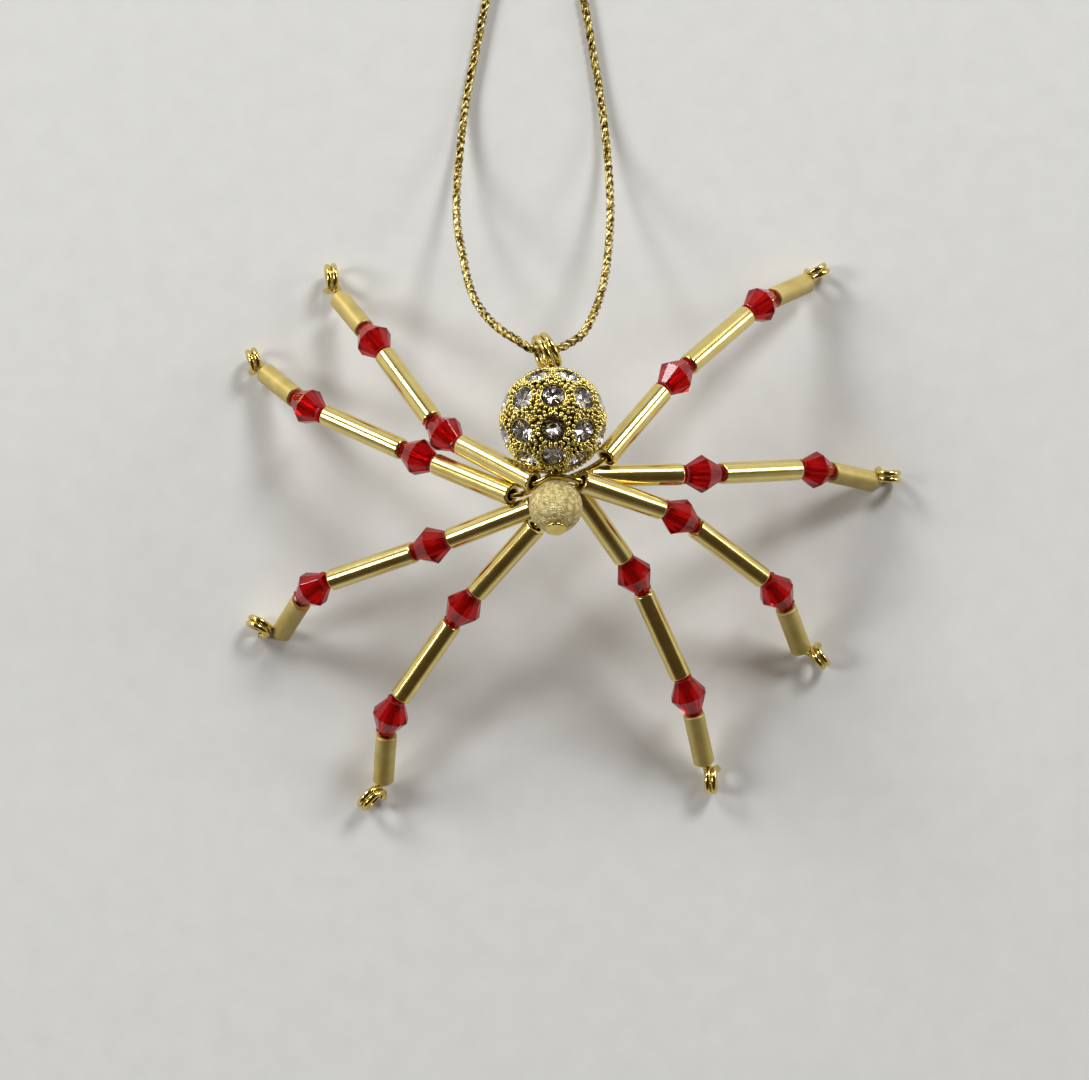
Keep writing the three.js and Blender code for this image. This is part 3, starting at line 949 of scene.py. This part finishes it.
def makeSettingTree():
    # bezels and bead rings round the stones, with loose granules in what is left
    sizes = [
        ("Seat Radius", "NodeSocketFloat"),
        ("Ball Centre", "NodeSocketVector"),
        ("Bezel Radius", "NodeSocketFloat"),
        ("Bezel Thickness", "NodeSocketFloat"),
        ("Bead Ring Radius", "NodeSocketFloat"),
        ("Bead Ring Height", "NodeSocketFloat"),
        ("Granule Radius", "NodeSocketFloat"),
        ("Granules Per Stone", "NodeSocketInt"),
        ("Fill Gap", "NodeSocketFloat"),
        ("Bore Clearance", "NodeSocketFloat"),
        ("Bore Way", "NodeSocketVector"),
        ("Seed", "NodeSocketInt"),
        ("Material", "NodeSocketMaterial"),
    ]
    tree, entry, leave = startTree("stoneSetting", sizes)
    sockets = entry.outputs
    facing = alignedTo(tree, "axis")
    joined = addNode(tree, "GeometryNodeJoinGeometry")

    rim = circleLine(tree, sockets["Bezel Radius"], 28)
    bezel = curveToTube(tree, rim, circleLine(tree, sockets["Bezel Thickness"], 6))
    bezels = onPoints(tree, sockets["Geometry"], bezel, Rotation=facing)
    plug(tree, bezels, joined.inputs["Geometry"])

    granule = addNode(tree, "GeometryNodeMeshIcoSphere")
    setSockets(granule, Subdivisions=2)
    plug(tree, sockets["Granule Radius"], granule.inputs["Radius"])
    ringLine = circleLine(tree, sockets["Bead Ring Radius"], sockets["Granules Per Stone"])
    ringPoints = addNode(tree, "GeometryNodeCurveToPoints", mode="EVALUATED")
    plug(tree, ringLine, ringPoints.inputs["Curve"])
    height = addNode(tree, "ShaderNodeCombineXYZ")
    plug(tree, sockets["Bead Ring Height"], height.inputs["Z"])
    seated = addNode(tree, "GeometryNodeSetPosition")
    plug(tree, ringPoints.outputs["Points"], seated.inputs["Geometry"])
    plug(tree, height.outputs["Vector"], seated.inputs["Offset"])
    beadRing = onPoints(tree, seated.outputs["Geometry"], granule.outputs["Mesh"])
    beadRings = onPoints(tree, sockets["Geometry"], beadRing, Rotation=facing)
    plug(tree, beadRings, joined.inputs["Geometry"])

    ball = addNode(tree, "GeometryNodeMeshIcoSphere")
    setSockets(ball, Subdivisions=5)
    plug(tree, sockets["Seat Radius"], ball.inputs["Radius"])
    placed = addNode(tree, "GeometryNodeTransform")
    plug(tree, ball.outputs["Mesh"], placed.inputs["Geometry"])
    plug(tree, sockets["Ball Centre"], placed.inputs["Translation"])
    strewn = addNode(tree, "GeometryNodeDistributePointsOnFaces", distribute_method="POISSON")
    setSockets(strewn, Density_Max=3e7)  # more than the fill gap lets through
    plug(tree, placed.outputs["Geometry"], strewn.inputs["Mesh"])
    plug(tree, sockets["Fill Gap"], strewn.inputs["Distance Min"])
    plug(tree, sockets["Seed"], strewn.inputs["Seed"])
    nearStone = addNode(tree, "GeometryNodeProximity", target_element="POINTS")
    plug(tree, sockets["Geometry"], nearStone.inputs[0])
    halfGranule = calculate(tree, "MULTIPLY", sockets["Granule Radius"], 0.5)
    taken = calculate(tree, "ADD", sockets["Bead Ring Radius"], halfGranule)
    tooNear = calculate(tree, "LESS_THAN", nearStone.outputs["Distance"], taken)
    place = addNode(tree, "GeometryNodeInputPosition")
    fromCentre = addNode(tree, "ShaderNodeVectorMath", operation="SUBTRACT")
    plug(tree, place.outputs["Position"], fromCentre.inputs[0])
    plug(tree, sockets["Ball Centre"], fromCentre.inputs[1])
    fromAxis = addNode(tree, "ShaderNodeVectorMath", operation="CROSS_PRODUCT")
    plug(tree, fromCentre.outputs[0], fromAxis.inputs[0])
    plug(tree, sockets["Bore Way"], fromAxis.inputs[1])
    reach = addNode(tree, "ShaderNodeVectorMath", operation="LENGTH")
    plug(tree, fromAxis.outputs[0], reach.inputs[0])
    inBore = calculate(tree, "LESS_THAN", reach.outputs["Value"], sockets["Bore Clearance"])
    kept = addNode(tree, "GeometryNodeDeleteGeometry", domain="POINT")
    plug(tree, strewn.outputs["Points"], kept.inputs["Geometry"])
    plug(tree, calculate(tree, "MAXIMUM", tooNear, inBore), kept.inputs["Selection"])
    size = addNode(tree, "FunctionNodeRandomValue", data_type="FLOAT_VECTOR")
    setSockets(size, Min=(0.85, 0.85, 0.85), Max=(1.15, 1.15, 1.15))
    plug(tree, sockets["Seed"], size.inputs["Seed"])
    scales = size.outputs["Value"]
    fill = onPoints(tree, kept.outputs["Geometry"], granule.outputs["Mesh"], Scale=scales)
    plug(tree, fill, joined.inputs["Geometry"])
    endTree(tree, entry, leave, joined.outputs["Geometry"])
    return tree


def makeSocketTree():
    # the ball with a round socket sunk under every stone
    sizes = [
        ("Ball", "NodeSocketObject"),
        ("Socket Radius", "NodeSocketFloat"),
        ("Socket Depth", "NodeSocketFloat"),
        ("Material", "NodeSocketMaterial"),
    ]
    tree, entry, leave = startTree("stoneSockets", sizes)
    drill = addNode(tree, "GeometryNodeMeshCylinder")
    setSockets(drill, Vertices=24)
    plug(tree, entry.outputs["Socket Radius"], drill.inputs["Radius"])
    plug(tree, calculate(tree, "MULTIPLY", entry.outputs["Socket Depth"], 2), drill.inputs["Depth"])
    facing = alignedTo(tree, "axis")
    drills = onPoints(tree, entry.outputs["Geometry"], drill.outputs["Mesh"], Rotation=facing)
    separate = addNode(tree, "GeometryNodeRealizeInstances")
    plug(tree, drills, separate.inputs["Geometry"])
    ball = addNode(tree, "GeometryNodeObjectInfo")
    plug(tree, entry.outputs["Ball"], ball.inputs["Object"])
    cut = addNode(tree, "GeometryNodeMeshBoolean", operation="DIFFERENCE", solver="EXACT")
    plug(tree, ball.outputs["Geometry"], cut.inputs["Mesh 1"])
    plug(tree, separate.outputs["Geometry"], cut.inputs["Mesh 2"])
    endTree(tree, entry, leave, cut.outputs["Mesh"])
    return tree


def makeStoneForm(sizes):
    # a cut stone as the hull of its rings of corners
    girdle = sizes["girdleRadius"]
    table = sizes["tableRadius"]
    crown = (girdle + table) / 2 * 1.06
    rise = sizes["tableHeight"] - sizes["girdleHeight"]
    # radius, height, corners and turn of each ring, in parts of the step between corners
    tiers = [
        (table, sizes["tableHeight"], 8, 0),
        (crown, sizes["girdleHeight"] + rise * 0.58, 8, 0.5),
        (girdle, sizes["girdleHeight"], 16, 0),
        (girdle, sizes["girdleHeight"] - sizes["girdleThickness"], 16, 0),
        (girdle * 0.52, sizes["culetHeight"] * sizes["pavilionDepth"], 8, 0.5),
        (girdle * 0.04, sizes["culetHeight"], 8, 0),
    ]
    form = bmesh.new()
    for radius, height, corners, shift in tiers:
        for corner in range(corners):
            turn = math.tau * (corner + shift) / corners
            form.verts.new((radius * math.cos(turn), radius * math.sin(turn), height))
    bmesh.ops.convex_hull(form, input=form.verts)
    bmesh.ops.recalc_face_normals(form, faces=form.faces)
    mesh = bpy.data.meshes.new("stoneForm")
    form.to_mesh(mesh)
    form.free()
    return mesh


def makeFoilForm(sizes):
    # the silvered cup under a stone
    rim = sizes["girdleRadius"]
    top = sizes["girdleHeight"] - sizes["foilGap"]
    low = sizes["culetHeight"]
    shoulder = (rim * 0.54, low * sizes["pavilionDepth"])
    skin = sizes["foilThickness"]
    outline = [
        (rim - skin, top),
        (rim, top),
        (shoulder[0], shoulder[1] - 2 * skin),
        (0, low - 3 * skin),
        (0, low - skin),
        (shoulder[0] - skin, shoulder[1] - skin),
    ]
    return turnedForm("foilForm", outline, 16, foilMaterial)


def makeAbdomen(sizes):
    seat = sizes["granuleSeat"]
    granuleTop = seat + sizes["granuleRadius"] / 2
    abdomenMaterial = makeAbdomenMaterial(
        abdomenFinishAndShade, abdomenCentre, sizes["stoneRadius"], granuleTop
    )
    places = stonePlaces(sizes)
    ringHeight = math.sqrt(seat ** 2 - sizes["beadRingRadius"] ** 2) - sizes["stoneRadius"]
    granules = applyTree("granules", placesMesh("granules", places), makeSettingTree(), {
        "Seat Radius": seat,
        "Ball Centre": abdomenCentre,
        "Bezel Radius": sizes["bezelRadius"],
        "Bezel Thickness": sizes["bezelThickness"],
        "Bead Ring Radius": sizes["beadRingRadius"],
        "Bead Ring Height": ringHeight,
        "Granule Radius": sizes["granuleRadius"],
        "Granules Per Stone": sizes["granulesPerStone"],
        "Fill Gap": sizes["fillGap"],
        "Bore Clearance": sizes["bore"] / 2 + sizes["granuleRadius"],
        "Bore Way": abdomenAxis,
        "Seed": sizes["seed"],
        "Material": abdomenMaterial,
    })
    shadeSmooth(granules.data)
    outline = roundBeadOutline({**sizes, "diameter": 2 * sizes["ballRadius"]})
    ballMesh = turnedForm("abdomenBall", outline, sizes["sides"], abdomenMaterial)
    ballMesh.transform(turnTo(abdomenAxis, abdomenCentre))
    wholeBall = bpy.data.objects.new("wholeBall", ballMesh)
    ball = applyTree("socketBall", placesMesh("sockets", places), makeSocketTree(), {
        "Ball": wholeBall,
        "Socket Radius": sizes["girdleRadius"] + sizes["socketGap"],
        "Socket Depth": sizes["socketDepth"],
        "Material": abdomenMaterial,
    })
    bpy.data.objects.remove(wholeBall)
    shadeSmooth(ball.data, 40)
    foils = setBeads("foils", places, makeFoilForm(sizes), 3, foilMaterial)
    setting = joinPieces("abdomen_setting", [ball, granules, foils])
    finishPiece(setting, "abdomen", "abdomen_bead")
    stones = setBeads("abdomen_stones", places, makeStoneForm(sizes), 3, stoneMaterial)
    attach(stones, "root")
    print(stones.name, len(stones.data.polygons), "faces")


makeAbdomen(abdomen)


print("beads on the legs")

# the wall keeps straight reflections over wallShare of its length, between its rounded rims
tubeBead = {"diameter": 0.00255, "bore": 0.0015, "rim": 0.00016, "sides": 40, "wallShare": 0.98}
coneBead = {
    "diameter": 0.0045,
    "length": 0.0048,
    "collarDiameter": 0.0023,
    "neckDiameter": 0.00215,
    "neckLength": 0.00025,
    "bore": 0.0013,
    "sides": 10,
    "edge": 0.00003,
}


def roundedCorner(radius, height, rim, firstDegrees):
    # a quarter turn of the rim in three steps
    turns = [math.radians(firstDegrees + 30 * step) for step in range(4)]
    return [(radius + rim * math.cos(turn), height + rim * math.sin(turn)) for turn in turns]


def tubeOutline(length):
    outer = tubeBead["diameter"] / 2
    inner = tubeBead["bore"] / 2
    rim = tubeBead["rim"]
    straight = length / 2 - rim
    wall = straight * tubeBead["wallShare"]
    return [
        *roundedCorner(inner + rim, -straight, rim, 180),
        *roundedCorner(outer - rim, -straight, rim, 270),
        (outer, -wall),
        (outer, wall),
        *roundedCorner(outer - rim, straight, rim, 0),
        *roundedCorner(inner + rim, straight, rim, 90),
        (inner, wall),
        (inner, -wall),
    ]


def coneOutline():
    half = coneBead["length"] / 2
    collar = coneBead["collarDiameter"] / 2
    bore = coneBead["bore"] / 2
    neck = coneBead["neckDiameter"] / 2
    neckHeight = half - coneBead["neckLength"]
    return [
        (bore, -half),
        (collar, -half),
        (neck, -neckHeight),
        (coneBead["diameter"] / 2, 0),
        (neck, neckHeight),
        (collar, half),
        (bore, half),
    ]


def makeBeads(name, suffix, slotName, material, formMesh, seed):
    nodes = [f"leg_{leg}_{suffix}" for leg in range(1, 9)]
    places = [beadAxis(node)[:2] for node in nodes]
    finishPiece(setBeads(name, places, formMesh, seed, material), slotName, *nodes)


def makeTubeForm(name, node, material):
    length = beadAxis(node)[2]
    form = turnedForm(name, tubeOutline(length), tubeBead["sides"], material)
    shadeSmooth(form, 70)
    return form


def makeConeForm():
    mesh = turnedForm("coneForm", coneOutline(), coneBead["sides"], redMaterial)
    form = bmesh.new()
    form.from_mesh(mesh)
    edges = form.edges[:]
    bmesh.ops.bevel(
        form, geom=edges, offset=coneBead["edge"], segments=1, affect="EDGES", clamp_overlap=True
    )
    form.to_mesh(mesh)
    form.free()
    return mesh


longTubeForm = makeTubeForm("longTubeForm", "leg_1_inner_tube", longTubeMaterial)
tipTubeForm = makeTubeForm("tipTubeForm", "leg_1_tip_tube", tipTubeShadedMaterial)
coneForm = makeConeForm()
makeBeads("inner_tubes", "inner_tube", "tube", longTubeMaterial, longTubeForm, 1)
makeBeads("middle_tubes", "middle_tube", "tube", longTubeMaterial, longTubeForm, 2)
makeBeads("tip_tubes", "tip_tube", "tube", tipTubeShadedMaterial, tipTubeForm, 3)
makeBeads("knee_beads", "knee_bead", "cone", redMaterial, coneForm, 4)
makeBeads("ankle_beads", "ankle_bead", "cone", redMaterial, coneForm, 5)


print("floor and light")

floorPlate = {"size": 0.9, "color": (0.80, 0.81, 0.795), "softShare": 0.96}


def makeFloor():
    half = floorPlate["size"] / 2
    mesh = bpy.data.meshes.new("floor")
    corners = [(-half, -half, 0), (half, -half, 0), (half, half, 0), (-half, half, 0)]
    mesh.from_pydata(corners, [], [(0, 1, 2, 3)])
    material, tree, shader = startMaterial("paleFloor")
    grain = noiseField(tree, 300, 4)
    soft = tuple(channel * floorPlate["softShare"] for channel in floorPlate["color"])
    tones = ramp(tree, grain, [(0.3, soft), (0.7, floorPlate["color"])])
    plug(tree, tones, shader.inputs["Base Color"])
    setSockets(shader, Roughness=0.8)
    mesh.materials.append(material)
    floor = bpy.data.objects.new("floor", mesh)
    scene.collection.objects.link(floor)


lamps = {
    "distance": 1.3,
    "size": 0.36,
    "windows": [
        {"name": "windowLeft", "azimuth": 178, "fromZenith": 57, "watts": 5.2},
        {"name": "windowBack", "azimuth": 134, "fromZenith": 63, "watts": 7.4},
        {"name": "windowRight", "azimuth": 56, "fromZenith": 53, "watts": 8.2},
        {"name": "windowFarRight", "azimuth": 16, "fromZenith": 68, "watts": 3},
    ],
}


def makeLamps():
    for window in lamps["windows"]:
        turn = math.radians(window["azimuth"])
        fall = math.radians(window["fromZenith"])
        level = math.sin(fall)
        way = Vector((math.cos(turn) * level, math.sin(turn) * level, math.cos(fall)))
        data = bpy.data.lights.new(window["name"], "AREA")
        data.energy = window["watts"]
        data.size = lamps["size"]
        light = bpy.data.objects.new(window["name"], data)
        light.location = way * lamps["distance"]
        light.rotation_euler = way.to_track_quat("Z", "Y").to_euler()
        scene.collection.objects.link(light)


room = {
    "wall": (0.68, 0.68, 0.66),
    "frontWall": (0.22, 0.22, 0.21),
    "ceiling": (0.048, 0.029, 0.011),
    "ceilingWay": (0, -0.12, 0.99),
    "ceilingDegrees": (67, 77),
}


def makeWorld():
    # a room with pale walls, dimmer in front, and a dark warm ceiling
    world = bpy.data.worlds.new("softRoom")
    world.use_nodes = True
    scene.world = world
    tree = world.node_tree
    tree.nodes.clear()
    way = addNode(tree, "ShaderNodeTexCoord").outputs["Generated"]
    parts = addNode(tree, "ShaderNodeSeparateXYZ")
    plug(tree, way, parts.inputs["Vector"])
    back = addNode(tree, "ShaderNodeMapRange", interpolation_type="SMOOTHSTEP")
    setSockets(back, From_Min=-0.8, From_Max=0.2)
    plug(tree, parts.outputs["Y"], back.inputs["Value"])
    walls = addNode(tree, "ShaderNodeMix", data_type="RGBA")
    plug(tree, back.outputs["Result"], walls.inputs["Factor"])
    walls.inputs[6].default_value = (*room["frontWall"], 1)
    walls.inputs[7].default_value = (*room["wall"], 1)
    toCeiling = addNode(tree, "ShaderNodeVectorMath", operation="DOT_PRODUCT")
    plug(tree, way, toCeiling.inputs[0])
    toCeiling.inputs[1].default_value = Vector(room["ceilingWay"]).normalized()
    below = addNode(tree, "ShaderNodeMapRange", interpolation_type="SMOOTHSTEP")
    inner, outer = (math.cos(math.radians(angle)) for angle in room["ceilingDegrees"])
    setSockets(below, From_Min=outer, From_Max=inner, To_Min=1, To_Max=0)
    plug(tree, toCeiling.outputs["Value"], below.inputs["Value"])
    whole = addNode(tree, "ShaderNodeMix", data_type="RGBA")
    plug(tree, below.outputs["Result"], whole.inputs["Factor"])
    whole.inputs[6].default_value = (*room["ceiling"], 1)
    plug(tree, walls.outputs[2], whole.inputs[7])
    background = addNode(tree, "ShaderNodeBackground")
    plug(tree, whole.outputs[2], background.inputs["Color"])
    output = addNode(tree, "ShaderNodeOutputWorld")
    plug(tree, background.outputs["Background"], output.inputs["Surface"])


makeFloor()
makeLamps()
makeWorld()
